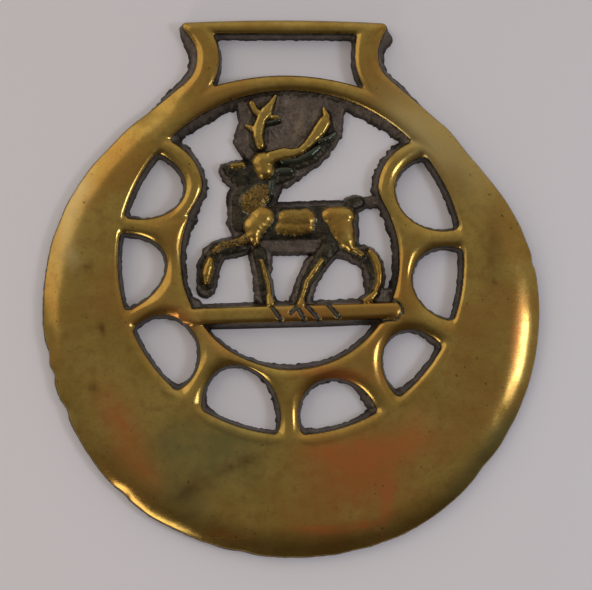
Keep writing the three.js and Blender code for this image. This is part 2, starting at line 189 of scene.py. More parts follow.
def slot_outside(x, y):
    """How far a point lies outside the strap slot: the largest of four bowed edges."""
    up = (y - SLOT_MIDDLE) / 4
    left = SLOT_LEFT - np.where(up > 0, 1.0, 0.85) * up**2
    right = SLOT_RIGHT + np.where(up > 0, 0.5, 0.85) * up**2
    foot = SLOT_FOOT - (x + 1) ** 2 / 80
    return soft_max(soft_max(y - SLOT_TOP, foot - y, 0.6), soft_max(left - x, x - right, 0.6), 0.7)


def opening_outside(x, y, first_d, last_d):
    """How far a point lies outside the stag's opening: a circle joined to a wider crown above it."""
    circle = OPENING_R - np.hypot(x - OPENING_X, y - OPENING_Y)
    crown = RING_R - np.hypot(x - RING_X, y - RING_Y)
    crown = soft_min(crown, soft_min(first_d - FIRST_RIB, last_d - LAST_RIB, 0.5), 0.9)
    return -soft_max(circle, np.minimum(crown, 0.6 * (y - 15.5)), 1.2)


# %% [markdown]
# ## The polished frame
# Polishing rounds every edge. The height falls off smoothly towards each edge, and the falls from two
# edges are added, so a narrow rib comes out as one smooth crown. Behind each edge the wall of
# the hole slopes outwards to the back, as a pattern must to leave the sand, and stays rough.

# %% Height of the frame
LOOP_FOOT = 22                                    # where the loop's sides have faded into the disc, mm
FLASH = (   # where metal has run out at the back of a hole: x, y, width there, size of the spot
    (12.8, -15.9, 1.9, 2.3), (17.7, -15.4, 1.2, 1.5), (-19.2, -13.2, 0.4, 1.2), (-26.6, -0.1, 0.4, 1.0),
    (-26.9, 14.4, 0.4, 1.0), (23.0, -6.4, 0.5, 1.8), (-14.6, -16.2, 0.4, 1.3), (-4.0, -17.0, 0.35, 2.2),
    (1.6, -20.8, 0.4, 1.2), (-16.2, 14.2, 0.5, 0.9), (0.0, -10.2, 0.25, 7.0))


def fall(inside, width):
    """How far the surface has fallen near an edge, 1 at the edge and 0 from width mm in. With t the share
    of the way out, it is mostly t squared, which bends evenly, and partly a quarter ellipse, which turns
    down at the very edge."""
    t = 1 - np.clip(inside / width, 0, 1)
    return 0.7 * t * t + 0.3 * (1 - np.sqrt(1 - t * t))


def frame_surface(x, y):
    """Height of the pierced frame, how far each point lies inside its nearest polished edge, and how far
    outside the stag's opening. Each edge has a field, the width of its wall, and its fall: width and drop."""
    rough = grain(x, y, 0.62, 1) + 0.5 * grain(x, y, 0.34, 2)
    flash = sum(more * np.exp(-((x - a) ** 2 + (y - b) ** 2) / size**2) for a, b, more, size in FLASH)
    up = step(y, 32, 38)
    disc, (sides, top) = disc_inside(x, y), loop_inside(x, y)
    loop = soft_min(soft_min(sides, top, 1.2), y - LOOP_FOOT, 4.0)
    outline = soft_max(disc, loop, 2.2)
    side_wall = 1.4 - 1.0 * step(y, 44, 47) + 1.1 * np.exp(-((x - 17) ** 2 + (y - 45.2) ** 2) / 1.1**2)
    loop_wall = side_wall + (RIM_WALL - side_wall) * step(sides - top, -0.6, 0.6)
    outline_wall = RIM_WALL + (loop_wall - RIM_WALL) * up
    edges = [(outline, outline_wall * (1 + 0.07 * rough), 5.5 - 3.9 * up, 1.5 - 0.75 * up)]
    ds = [d_outside(x, y, *row) for row in D_HOLES]
    edges += [(d, 0.48 * (1 + 0.2 * rough) + flash * (1 + 0.25 * rough), 2.4 - 1.3 * step(flat, -1, 1),
               0.95 - 0.4 * step(flat, -1, 1)) for d, flat in ds]
    edges.append((slot_outside(x, y), 0.4 * (1 + 0.2 * rough), 1.4, 0.6))
    opening = opening_outside(x, y, ds[0][0], ds[7][0])
    flange = 0.9 + 0.45 * step(y, 22, 32) - 0.35 * step(-y, -1, 6) + flash
    edges.append((opening, flange * (1 + 0.2 * rough), 1.4 + 0.5 * step(np.abs(x), 8, 16), 0.8))
    height = FRONT - 0.12 * np.clip(np.hypot(x, y) / 41, 0, 1) ** 2 + 0.03 * grain(x, y, 9, 3)
    for inside, _, width, drop in edges:
        height = height - drop * fall(inside, width)
    for d, flat_side in ds[2:6]:
        lip = step(flat_side, -1.0, 0.5) * step(d, 0, 0.4)
        raised, hollow = np.exp(-(((d - 1.1) / 0.5) ** 2)), np.exp(-(((d - 2.2) / 0.6) ** 2))
        height = height + lip * (0.06 * raised - 0.05 * hollow)
    for inside, wall, _, drop in edges:
        ramp = (FRONT - drop) * (1 + inside / wall) + 0.1 * rough * step(-inside, 0.02, 0.3)
        height = np.where(inside < 0, np.minimum(height, ramp), height)
    nearest = np.minimum.reduce([inside for inside, _, _, _ in edges])
    return height, nearest, opening


# %% [markdown]
# ## The stag
# The stag is modelled as a carver would block it out: each limb is a chain of round stations, and the
# form between two stations is a tapering dome. Proud forms, such as the haunch and the antlers, were
# polished. The barrel, neck and thigh were only touched, and keep a stippled skin. Deep parts stayed as cast.

# %% Limbs of the stag
# Each station is x, y, half width, height of its top. The forms of one kind share a finish.
ROUNDED = {
    "haunch": ((7.5, 13.9, 2.75, 2.9), (8.1, 12.0, 2.3, 2.95), (8.7, 10.4, 1.75, 2.85), (9.3, 9.2, 1.0, 2.6)),
    "croup": ((6.1, 14.6, 1.9, 2.8), (8.6, 14.5, 1.9, 2.85)),
    "shoulder": ((-5.2, 14.4, 2.25, 2.9), (-6.5, 13.0, 2.3, 2.95), (-6.7, 11.6, 1.6, 2.8),
                 (-6.4, 10.3, 0.85, 2.5)),
    "cheek": ((-4.8, 22.4, 1.9, 2.9), (-5.0, 23.7, 2.15, 2.95), (-3.9, 24.1, 1.4, 2.95)),
    "shin": ((-14.0, 7.4, 0.85, 2.6), (-14.3, 6.2, 1.2, 2.8), (-14.6, 5.0, 1.15, 2.8),
             (-14.7, 3.8, 0.75, 2.6)),
    "far_shank": ((12.6, 8.5, 0.75, 2.5), (13.3, 7.5, 0.95, 2.6), (13.8, 6.2, 0.95, 2.7),
                  (14.0, 4.6, 0.85, 2.7),
                  (13.9, 3.2, 0.8, 2.6), (13.4, 2.1, 0.6, 2.5)),
}
FLATTENED = {
    "brow": ((-3.6, 24.5, 1.2, 2.9), (-1.5, 25.1, 1.15, 2.9), (-0.2, 25.1, 0.9, 2.85),
             (1.2, 25.5, 0.75, 2.85)),
    "rear_antler": ((1.2, 25.5, 0.75, 2.85), (2.5, 26.6, 0.85, 2.85), (3.7, 28.0, 1.05, 2.85),
                    (4.6, 29.1, 1.3, 2.85),
                    (5.4, 30.4, 1.2, 2.85), (5.75, 31.4, 0.75, 2.7), (5.35, 32.8, 0.35, 2.3)),
    "front_antler": ((-5.4, 26.5, 0.85, 2.7), (-5.8, 28.2, 0.95, 2.8), (-5.6, 29.6, 1.1, 2.8),
                     (-5.2, 30.9, 0.95, 2.8),
                     (-4.3, 32.2, 1.2, 2.8), (-3.7, 33.2, 0.8, 2.7), (-2.7, 34.9, 0.3, 2.4)),
    "front_tine": ((-5.2, 31.7, 0.8, 2.7), (-6.1, 32.3, 0.6, 2.6), (-6.7, 33.6, 0.65, 2.6)),
    "low_tine": ((-6.0, 29.0, 0.8, 2.6), (-7.6, 29.9, 0.35, 2.2)),
    "back_tine": ((-4.3, 31.3, 0.5, 2.4), (-2.4, 31.4, 0.35, 2.1)),
    "front_hoof": ((-4.4, 1.2, 0.6, 2.7), (-4.2, 0.1, 0.85, 2.9)),
    "near_hoof": ((0.9, 0.8, 0.5, 2.7), (0.8, -0.1, 0.9, 2.9)),
    "far_hoof": ((13.2, 1.6, 0.6, 2.6), (12.4, 0.8, 0.8, 2.8), (11.6, 0.3, 0.7, 2.8)),
}
STIPPLED = {
    "barrel": ((-1.3, 14.2, 2.1, 2.65), (1.9, 14.1, 2.4, 2.8)),
    "belly": ((-2.2, 12.6, 1.6, 2.5), (0.2, 12.5, 1.8, 2.6), (2.2, 12.7, 1.6, 2.65)),
    "muzzle": ((-10.0, 23.1, 0.8, 2.4), (-8.5, 23.2, 0.9, 2.45)),
    "foreleg": ((-5.5, 7.2, 0.55, 2.3), (-5.0, 5.2, 0.7, 2.5), (-4.5, 3.2, 0.65, 2.5),
                (-4.3, 1.0, 0.65, 2.6)),
    "near_shank": ((4.5, 7.2, 0.6, 2.3), (3.2, 5.4, 0.8, 2.5), (1.9, 3.6, 0.75, 2.5), (1.1, 1.0, 0.65, 2.5)),
    "hock": ((10.1, 8.8, 0.8, 2.6), (11.2, 8.0, 0.7, 2.5)),
}
SPECKLED = {
    "neck": ((-6.9, 17.0, 2.5, 2.4), (-5.4, 18.5, 2.2, 2.3)),
    "thigh": ((-7.4, 11.2, 1.2, 2.4), (-9.0, 10.4, 1.0, 2.2), (-11.8, 9.9, 0.9, 2.1), (-13.2, 8.9, 0.8, 2.2)),
}
SMOOTH_CAST = {
    "ear": ((-2.2, 22.2, 1.0, 2.3), (-0.6, 22.3, 0.9, 2.2)),
    "under_antler": ((-1.6, 23.9, 0.8, 2.4), (0.7, 24.0, 0.75, 2.4), (3.0, 25.1, 0.95, 2.5),
                     (4.4, 26.2, 0.7, 2.3)),
    "rear_tine": ((4.6, 27.2, 0.7, 2.5), (6.0, 27.7, 0.7, 2.4), (7.2, 28.6, 0.5, 2.2)),
    "neck_edge": ((-3.6, 20.4, 0.7, 2.3), (-3.9, 18.4, 0.8, 2.3)),
    "back_tine_root": ((-4.2, 30.4, 0.6, 2.1), (-2.2, 30.9, 0.5, 1.9)),
}
AS_CAST = {
    "trunk": ((-6.0, 13.4, 2.9, 2.1), (6.0, 13.7, 2.9, 2.1)),
    "throat": ((-7.0, 17.4, 3.2, 1.9), (-5.2, 20.4, 2.7, 1.9)),
    "chest": ((-9.0, 13.2, 1.3, 1.6), (-8.8, 17.2, 1.5, 1.7)),
    "snout": ((-7.6, 22.0, 1.7, 2.1), (-10.4, 22.4, 1.1, 2.0), (-11.4, 22.9, 0.4, 1.8)),
    "jaw": ((-9.2, 21.0, 1.3, 1.8), (-6.0, 20.8, 1.4, 1.9)),
    "poll": ((-3.0, 21.6, 1.8, 2.0), (-0.8, 22.2, 1.5, 1.8)),
    "antler_root": ((0.0, 23.6, 1.4, 1.9), (3.2, 25.0, 1.6, 1.9), (6.0, 28.0, 1.4, 1.8)),
    "antler_flat": ((5.4, 29.0, 1.9, 1.7), (5.6, 31.6, 1.3, 1.6)),
    "front_antler_flat": ((-5.7, 27.0, 1.7, 1.7), (-5.5, 30.2, 1.9, 1.7), (-4.6, 32.6, 1.7, 1.6)),
    "tail": ((9.7, 16.5, 1.2, 2.1), (10.9, 16.9, 1.1, 2.0)),
    "rump": ((6.2, 11.0, 1.9, 2.0), (9.6, 9.4, 1.3, 2.0)),
    "near_thigh": ((6.4, 10.2, 1.7, 2.0), (4.4, 7.4, 1.4, 1.9)),
    "near_leg": ((3.6, 6.4, 1.2, 1.8), (1.9, 3.6, 1.05, 1.7), (1.1, 1.0, 1.0, 1.7)),
    "far_leg": ((10.4, 8.2, 1.1, 1.9), (12.8, 7.2, 1.3, 1.8), (13.6, 4.6, 1.2, 1.7), (13.2, 1.8, 1.1, 1.7)),
    "front_leg": ((-5.8, 8.6, 1.2, 1.8), (-5.3, 4.6, 1.0, 1.7), (-4.7, 1.0, 1.0, 1.8)),
    "raised_leg": ((-9.0, 10.0, 1.4, 1.8), (-12.8, 9.2, 1.3, 1.8), (-14.3, 6.6, 1.5, 1.8),
                   (-14.6, 3.8, 1.3, 1.7)),
}
WEB_STRIPS = (   # flat stretches of web that belong to no limb: x, y, half width
    ((-11, 22.6, 1.4), (-10.2, 21.5, 1.7), (-8, 19.6, 1.8)),
              ((-8.6, 17.6, 2.2), (-9, 14.2, 2.2), (-8.4, 11.6, 1.8)),
    ((-3, 13.6, 3.1), (4.4, 13.6, 3.2)), ((-6, 9.6, 1.4), (4, 10, 1.8), (9.4, 9, 1.9)),
    ((-5.6, 8, 2), (-5.4, 4.4, 1.6), (-5.4, 1, 1.4)), ((-13.6, 8.4, 1.9), (-14.8, 2.9, 1.6)),
    ((3.6, 6.6, 2), (1.8, 3.4, 1.8), (1, 0.6, 2)), ((11.6, 8.2, 1.8), (13.2, 6.4, 1.9), (13.4, 2.4, 1.7)),
    ((10.5, 17, 0.9), (15.2, 17.2, 1.2)), ((12.6, 1, 1), (17.6, 1.4, 1.6)),
              ((-17.4, 0.6, 1.1), (-15.6, -0.4, 0.9)),
    ((-15, -1, 1.3), (17, -0.5, 1.4)), ((-14.5, -2.4, 1.3), (15.5, -2.1, 1.5)))
ANTLER_WEB = ((-9.8, 36), (-9.0, 31), (-9.9, 27.5), (-8.5, 25), (-5, 20), (-1, 19.6), (2, 21.6), (6.2, 25),
              (8.5, 28.2),
              (8.9, 31), (9.8, 36))
WEB_HOLLOWS = ((0.0, 29.6, 1.3, 2.8, 0.45), (-1.6, 27.6, 2.0, 1.2, 0.2), (2.2, 30.6, 0.6, 2.0, -0.35),
               (3.0, 28.9, 0.8, 0.9, -0.2))        # x, y, half width, half height, depth; a ridge is below 0


# How each kind is finished: fullness of its domes, mm of grain, shine, and the share of the half width
# that still shines.
KINDS = ((ROUNDED, 1.9, 0.03, 0.88, 0.66), (FLATTENED, 3.2, 0.03, 0.9, 0.74),
         (STIPPLED, 1.9, 0.06, 0.66, 0.5),
         (SPECKLED, 2.3, 0.08, 0.52, 0.7), (SMOOTH_CAST, 2.2, 0.02, 0.25, 0.9),
         (AS_CAST, 2.3, 0.08, 0.08, 0.9))


def along_chain(x, y, stations):
    """For each link of a chain, yields the distance from it and what its stations hold beyond x and y, such
    as half width and height, at the nearest place on it."""
    for (ax, ay, *start), (bx, by, *end) in zip(stations, stations[1:]):
        t = ((x - ax) * (bx - ax) + (y - ay) * (by - ay)) / ((bx - ax) ** 2 + (by - ay) ** 2)
        t = np.clip(t, 0, 1)
        away = np.hypot(x - ax - t * (bx - ax), y - ay - t * (by - ay))
        yield away, [a + t * (b - a) for a, b in zip(start, end)]


def dome(x, y, stations, foot, fullness):
    """Height of a limb: foot plus its rise times the root of one less q to a power, q being 0 on the
    spine and 1 at the side. Also gives the least q."""
    height, nearest = np.full_like(x, -9.0), np.full_like(x, 9.0)
    for away, (half_width, top) in along_chain(x, y, stations):
        q = away / half_width
        rise = (1 - np.clip(q, 0, 1) ** fullness) ** (1 / fullness)
        height = np.maximum(height, np.where(q < 1, foot + (top - foot) * rise, foot - 3 * (q - 1)))
        nearest = np.minimum(nearest, q)
    return height, nearest


def polygon_inside(x, y, corners):
    """How far a point lies inside a polygon: the distance to its nearest side, negative outside."""
    nearest, inside = np.full_like(x, 99.0), np.zeros(x.shape, bool)
    for (ax, ay), (bx, by) in zip(corners, corners[1:] + corners[:1]):
        t = np.clip(((x - ax) * (bx - ax) + (y - ay) * (by - ay)) / ((bx - ax) ** 2 + (by - ay) ** 2), 0, 1)
        nearest = np.minimum(nearest, np.hypot(x - ax - t * (bx - ax), y - ay - t * (by - ay)))
        crosses = (ay > y) != (by > y)
        inside ^= crosses & (x < ax + (y - ay) * (bx - ax) / (by - ay if by != ay else 1))
    return np.where(inside, nearest, -nearest)


def web_inside(x, y):
    """How far a point lies inside the thin web behind the stag, whose edge is ragged."""
    margin = 0.45
    inside = np.full_like(x, -9.0)
    for limbs, *_ in KINDS:
        for stations in limbs.values():
            for away, (half_width, _) in along_chain(x, y, stations):
                inside = np.maximum(inside, half_width + margin - away)
    for stations in WEB_STRIPS:
        for away, (half_width,) in along_chain(x, y, stations):
            inside = np.maximum(inside, half_width - away)
    inside = np.maximum(inside, polygon_inside(x, y, ANTLER_WEB))
    return inside + 0.16 * grain(x, y, 0.8, 5) + 0.1 * grain(x, y, 0.38, 6)


# %% [markdown]
# ## The bar
# The stag stands on a torse, the twisted bar of heraldry. Here it is a half-round strip whose twist is
# short slanting grooves. Its left end runs into the frame and its right end lies over the frame.

# %% Height of the bar
BAR = ((-19.0, -1.9, 1.3, 2.55), (-15.2, -1.8, 1.5, 2.9), (-4, -1.65, 1.55, 3.0), (4, -1.6, 1.55, 3.0),
       (15.8, -1.35, 1.5, 3.1))
GROOVES = (((-4.1, -0.3), (-2.6, -2.6)), ((-0.9, -1.6), (0.2, -0.5)), ((0.4, -1.0), (1.2, -2.7)),
           ((1.6, -0.3), (3.6, -2.6)), ((5.2, -0.2), (6.9, -2.3)))


def bar_surface(x, y):
    """Height of the bar, a flattened half-round chain less its grooves, the share of the way to its side,
    and how deep in a groove each point is, from 0 to 1."""
    height, q = dome(x, y, BAR, 1.3, 3.0)
    groove = np.zeros_like(x)
    for (ax, ay), (bx, by) in GROOVES:
        away, _ = next(along_chain(x, y, ((ax, ay), (bx, by))))
        groove = np.maximum(groove, np.clip(1 - (away / 0.5) ** 2, 0, 1))
    return height - 0.3 * groove, q, groove


# %% [markdown]
# ## One casting
# The highest of all the fields is the surface that the eye meets. Where it drops below the back plane
# there is no metal. The same functions say how much polish each point has had, from 0 in the deepest
# casting skin to 1 on the proud faces, and the finish reads that later.


# %% Height and polish of the whole casting
WEB_HEIGHT = 1.2                                  # top of the web, mm
LIMB_FOOT = 1.0                                   # where the stag's domes start, mm
MELT = 0.05                                       # two forms this close in height share their polish, mm


def casting(x, y, with_polish=False):
    """Height of the front over each point of the plan in mm, and its polish from 0 to 1 if that is asked."""
    frame_height, edge, opening = frame_surface(x, y)
    polish = step(edge, -0.04, 0.12)
    around = (np.hypot(x - OPENING_X, y - 14) < 30) & (opening < 2.5)
    ax, ay = x[around], y[around]
    inner = []
    web = web_inside(ax, ay)
    sand = 0.8 * grain(ax, ay, 0.7, 7) + 0.8 * grain(ax, ay, 0.36, 8)
    web_height = np.where(web > 0, WEB_HEIGHT * (1 - (1 - np.clip(web / 0.6, 0, 1)) ** 2), 2.5 * web)
    hollow = sum(depth * np.exp(-(((ax - a) / half_x) ** 2) - ((ay - b) / half_y) ** 2)
                 for a, b, half_x, half_y, depth in WEB_HOLLOWS)
    lumps = 0.18 * grain(ax, ay, 2.2, 10) + 0.1 * sand
    inner.append((web_height + (lumps - hollow) * step(web, 0, 0.6), np.zeros_like(ax)))
    for limbs, fullness, roughness, shine, fade in KINDS:
        for stations in limbs.values():
            height, q = dome(ax, ay, stations, LIMB_FOOT, fullness)
            inner.append((height + roughness * sand, shine * step(q, 1.0, fade)))
    bar, q, groove = bar_surface(ax, ay)
    inner.append((bar, 0.95 * step(q, 1.0, 0.82) * (1 - np.sqrt(groove))))
    seat = np.exp(-(((q - 1.12) / 0.18) ** 2)) * step(ax, 12.5, 14)
    frame_height[around] -= 0.35 * seat
    top = inner[0][0]
    for height, _ in inner[1:]:
        top = soft_max(top, height, 0.12)
    whole = frame_height.copy()
    blend = 0.15 + 0.7 * step(-ax, 13.5, 16) * step(-ay, -0.5, 0.5)
    whole[around] = soft_max(frame_height[around], top, blend)
    if not with_polish:
        return whole
    inner.append((frame_height[around], polish[around] * (1 - 0.9 * seat)))
    shares = [np.exp(np.clip((height - whole[around]) / MELT, -40, 0)) for height, _ in inner]
    polish[around] = sum(share * shine for share, (_, shine) in zip(shares, inner)) / sum(shares)
    return whole, polish


# %% [markdown]
# ## A net that follows the edges
# The surface is drawn on a fine square net. Where an edge of the metal crosses a side of the net, the
# nearer end of that side is moved onto the edge, so the edge comes out smooth. Away from the edges only
# every second or fourth node is kept, and a Delaunay net joins what is left.

# %% Lay out the net
PITCH = 0.17                                      # side of the net, mm
across = np.arange(-43, 43 + PITCH, PITCH)
upwards = np.arange(-43.2, 49.6, PITCH)
net_x, net_y = np.meshgrid(across, upwards, indexing="ij")


def snap(x, y, field, fixed):
    """Moves the nearer end of each side of the net that the zero line of a field crosses onto that line.
    The crossing is where the field, taken as straight along the side, is zero."""
    best = np.full(x.shape, 0.5)
    new_x, new_y = x.copy(), y.copy()
    for axis in (0, 1):
        first = (slice(None, -1), slice(None)) if axis == 0 else (slice(None), slice(None, -1))
        second = (slice(1, None), slice(None)) if axis == 0 else (slice(None), slice(1, None))
        for here, there in ((first, second), (second, first)):
            a, b = field[here], field[there]
            share = a / np.where(a == b, 1, a - b)
            take = (a * b < 0) & (share <= best[here]) & ~fixed[here]
            best[here] = np.where(take, share, best[here])
            new_x[here] = np.where(take, x[here] + share * (x[there] - x[here]), new_x[here])
            new_y[here] = np.where(take, y[here] + share * (y[there] - y[here]), new_y[here])
    return new_x, new_y, (best < 0.5) & ~fixed


height = casting(net_x, net_y)
node_x, node_y, on_rim = snap(net_x, net_y, height, np.zeros(height.shape, bool))
_, edge, opening = frame_surface(node_x, node_y)
node_x, node_y, _ = snap(node_x, node_y, edge, on_rim)
inside = (height > 0) | on_rim
print("net of", inside.sum(), "nodes in the metal,", on_rim.sum(), "on its rim")

# %% [markdown]
# ## From net to casting
# First the rim is read from the full net: it is every side that only one triangle uses. Then the kept
# nodes are joined with the rim as fixed lines, once for the front and once, much coarser, for the back.


# %% Read the rim
def rim_lines(inside, on_rim, x, y):
    """Directed rim sides of the full net, metal on their left: those that no neighbour shares."""
    number = np.arange(inside.size).reshape(inside.shape)
    a, b, c, d = (number[:-1, :-1], number[1:, :-1], number[1:, 1:], number[:-1, 1:])
    flat_in, flat_rim = inside.ravel(), on_rim.ravel()
    a, b, c, d = (n.ravel() for n in (a, b, c, d))
    split_bd = flat_rim[b] & flat_rim[d] | ~flat_in[a] | ~flat_in[c]
    first = np.where(split_bd[:, None], np.stack([a, b, d], 1), np.stack([a, b, c], 1))
    second = np.where(split_bd[:, None], np.stack([b, c, d], 1), np.stack([a, c, d], 1))
    faces = np.concatenate([first, second])
    faces = faces[flat_in[faces].all(1)]
    thin = flat_rim[faces].all(1)
    middle_x, middle_y = x.ravel()[faces[thin]].mean(1), y.ravel()[faces[thin]].mean(1)
    keep = np.ones(len(faces), bool)
    keep[thin] = casting(middle_x, middle_y) > 0
    faces = faces[keep]
    sides = np.concatenate([faces[:, [0, 1]], faces[:, [1, 2]], faces[:, [2, 0]]])
    forward = sides[:, 0] * inside.size + sides[:, 1]
    backward = sides[:, 1] * inside.size + sides[:, 0]
    return sides[~np.isin(forward, backward)]


# %% Join the nodes
def join_nodes(x, y, rim_sides, rim_count):
    """Triangles over plan points that keep the rim sides and leave the holes open. Points before
    rim_count lie on the rim. A triangle stays if it has a point off the rim, or the metal side of a rim
    line, or metal at its middle and no rim line's open side."""
    points = np.stack([x, y], 1)
    out, _, faces, _, _, _ = delaunay_2d_cdt(points.tolist(), rim_sides.tolist(), [], 0, 1e-9)
    assert len(out) == len(points), "the net has crossing rim lines"
    faces = np.array(faces)
    u, v = (points[faces[:, k]] - points[faces[:, 0]] for k in (1, 2))
    turned = u[:, 0] * v[:, 1] < u[:, 1] * v[:, 0]
    faces[turned] = faces[turned][:, ::-1]
    count = len(points)
    metal = rim_sides[:, 0] * count + rim_sides[:, 1]
    air = rim_sides[:, 1] * count + rim_sides[:, 0]
    sides = np.stack([faces[:, k] * count + faces[:, (k + 1) % 3] for k in range(3)], 1)
    keeps, drops = np.isin(sides, metal).any(1), np.isin(sides, air).any(1)
    middle = points[faces].mean(1)
    solid = casting(middle[:, 0], middle[:, 1]) > 0
    return faces[keeps | (faces >= rim_count).any(1) | (solid & ~drops)]


def drop_twins(front, back, rim_count):
    """A front and a back triangle between the same three rim points enclose nothing, so both are dropped."""
    numbers = [np.where((faces < rim_count).all(1), np.sort(faces, 1) @ (rim_count**2, rim_count, 1), -1 - k)
               for k, faces in enumerate((front, back))]
    twins = np.intersect1d(*numbers)
    return [faces[~np.isin(number, twins)] for faces, number in zip((front, back), numbers)]


# %% Lay the front
FINE_BAND = 0.55                                  # this near an edge every node is kept, mm
MIDDLE_BAND = 2.2                                 # and this near, every second one
rim = rim_lines(inside, on_rim, node_x, node_y)
rim_nodes = np.unique(rim)
every_second, every_fourth = (np.zeros(inside.shape, bool) for _ in range(2))
every_second[::2, ::2] = True
every_fourth[::4, ::4] = True
busy = (edge < FINE_BAND) | (opening < 0)
keep = inside & ~on_rim & (busy | every_second & (edge < MIDDLE_BAND) | every_fourth)
keep.ravel()[rim_nodes] = False
front_nodes = np.concatenate([rim_nodes, np.flatnonzero(keep)])
rim_count = len(rim_nodes)
renumber = np.zeros(inside.size, int)
renumber[rim_nodes] = np.arange(rim_count)
front_x, front_y = node_x.ravel()[front_nodes], node_y.ravel()[front_nodes]
front_faces = join_nodes(front_x, front_y, renumber[rim], rim_count)
print("front:", len(front_x), "nodes,", len(front_faces), "triangles")

# %% [markdown]
# The back of a sand casting is the flat side of the mould: plain, slightly uneven and never polished.

# %% Close the back
sparse = np.zeros(inside.shape, bool)
sparse[3::7, 3::7] = True
back_nodes = np.flatnonzero(sparse & (height > 1.0) & ~on_rim)
inner_x, inner_y = node_x.ravel()[back_nodes], node_y.ravel()[back_nodes]
back_x, back_y = np.append(front_x[:rim_count], inner_x), np.append(front_y[:rim_count], inner_y)
back_faces = join_nodes(back_x, back_y, renumber[rim], rim_count)[:, ::-1]
front_faces, back_faces = drop_twins(front_faces, back_faces, rim_count)
back_faces = np.where(back_faces < rim_count, back_faces, back_faces + len(front_x) - rim_count)
faces = np.concatenate([front_faces, back_faces])
print("back:", len(inner_x), "more nodes,", len(back_faces), "triangles")

# %% Give the nodes their heights
LEAST = 0.02                                      # thinnest the metal may be beside its rim, mm
front_z, polish = casting(front_x, front_y, with_polish=True)
front_z = np.maximum(front_z, LEAST)
front_z[:rim_count] = 0
inner_z = 0.06 + 0.05 * grain(inner_x, inner_y, 3.5, 9)
all_x, all_y, all_z = np.append(front_x, inner_x), np.append(front_y, inner_y), np.append(front_z, inner_z)
on_front = np.append(np.ones(len(front_x)), np.zeros(len(inner_x)))
polish = np.append(polish, np.zeros(len(inner_x)))
print("whole casting:", len(all_x), "points,", len(faces), "triangles")

# %% Put the casting in the scene
points = np.stack([all_x + CENTRE_X, all_y + CENTRE_Y, all_z], 1) * MM
mesh = bpy.data.meshes.new("cast_brass")
mesh.from_pydata(points, [], faces)
mesh.update()
mesh.shade_smooth()
mesh.set_sharp_from_angle(angle=np.radians(50))
brass = bpy.data.objects.new("cast_brass", mesh)
bpy.context.scene.collection.objects.link(brass)
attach(brass, "root")
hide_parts("horse_brass")
sides = np.sort(np.concatenate([faces[:, [0, 1]], faces[:, [1, 2]], faces[:, [2, 0]]]), 1)
uses = np.unique(sides[:, 0] * len(all_x) + sides[:, 1], return_counts=True)[1]
print("sides not shared by two triangles:", (uses != 2).sum())

# %% [markdown]
# ## Where the patina lies
# Old brass isn't one colour. Heat and sweat leave red-brown tarnish, damp leaves a grey-green film, and
# rubbing leaves pale bare bands. Some spots are painted light: the long green band on the lower right rim is
# a painted reflection of the cool window, the pale band on the left rim is partly worn metal and partly a
# painted reflection of the warm lamp, and the pale patches on the right shoulder are painted highlights. Each
# is a soft oval spot in a short list, and the sum of the spots is kept on the mesh as a named attribute for
# the finish to read.

# %% Paint the patina spots
# Each spot is x, y, half length, half width, angle of its length, strength.
PATINA = {
    "red": ((-28.5, -19, 6.5, 2.6, -62, 0.9), (-24.5, -27, 4, 1.8, -45, 0.6), (7, -12.0, 5, 1.2, -6, 1.0),
            (12, -24.3, 9, 2.4, 8, 0.9), (9, -29, 8, 6, 0, 0.7), (19, -21, 3.5, 2.5, 70, 0.6),
            (3, -36.7, 4, 0.7, -4, 1.0), (10, -36.2, 2.6, 0.8, 8, 1.0), (14, -33, 5, 1.0, 80, 0.7),
            (-19, -2, 3.5, 1.6, -35, 0.7), (-13, -6, 4, 1.6, -50, 0.4), (4.5, -24, 5, 1.2, 0, 0.5), (-12, -37.2, 5, 0.8, -14, 0.4),
            (36.6, -6, 6, 0.9, 82, 0.9), (-0.6, -1.7, 2.4, 0.9, 0, 0.7), (3.6, -1.7, 1.4, 0.9, 0, 0.5)),
    "green": ((-14, -25, 8, 4.5, -15, 0.9), (-10, -21.5, 6, 2.5, -10, 0.6), (-19, -31, 5, 3, -35, 0.7),
              # the long band at 30.6, -25.8 on the lower right rim is a painted reflection of the cool
              # window, not a film
              (30.6, -25.8, 14, 1.6, 50, 1.0), (-20, -22, 4, 4, 0, 0.5)),
    "smudge": ((1.6, -2.5, 4.5, 0.5, 0, 0.5), (16.3, -2.2, 1.4, 0.5, 10, 0.5), (-10, -26, 3.6, 0.8, 20, 0.9),
               (-18, -30, 3, 1.4, 30, 0.7), (-34, 6.4, 1.0, 0.5, 25, 1.0),
               (-31.6, -3.6, 0.5, 1.2, 10, 1.0), (-33, -13.2, 0.9, 0.7, 0, 0.9), (33, 8, 5.5, 1.6, 85, 0.6),
               (27.5, 21, 2, 3, 20, 0.35), (-15, 27, 5, 2, 40, 0.3), (33, 3.2, 0.5, 0.4, 0, 1.0)),
    "dust": ((0.0, 29.8, 1.6, 3.2, 0, 0.9), (-2.0, 27.6, 2.2, 1.2, 0, 0.6), (3.2, 31.6, 1.8, 1.4, 0, 0.5),
             (-0.5, 34.2, 3.0, 0.8, 0, 0.6)),
    # pale: on the left rim, worn metal with a painted reflection of the warm lamp
    "pale": ((-36.8, 15, 7, 1.6, 78, 0.9), (-35, 19.5, 2.5, 1.8, 70, 0.6), (-36, 8, 2, 1.2, 90, 0.8),
             # the two spots on the right shoulder are painted highlights
             (26, 25, 9, 4.0, -50, 0.9), (19, 31, 6, 3.0, -50, 0.6)),
}


def patina(x, y, spots):
    """Strength of a stain: the sum of bell curves over soft oval spots, at most 1."""
    total = np.zeros_like(x)
    for a, b, half_length, half_width, angle, strength in spots:
        turn = np.radians(angle)
        u = (x - a) * np.cos(turn) + (y - b) * np.sin(turn)
        v = (y - b) * np.cos(turn) - (x - a) * np.sin(turn)
        total += strength * np.exp(-((u / half_length) ** 2) - (v / half_width) ** 2)
    return np.clip(total, 0, 1)


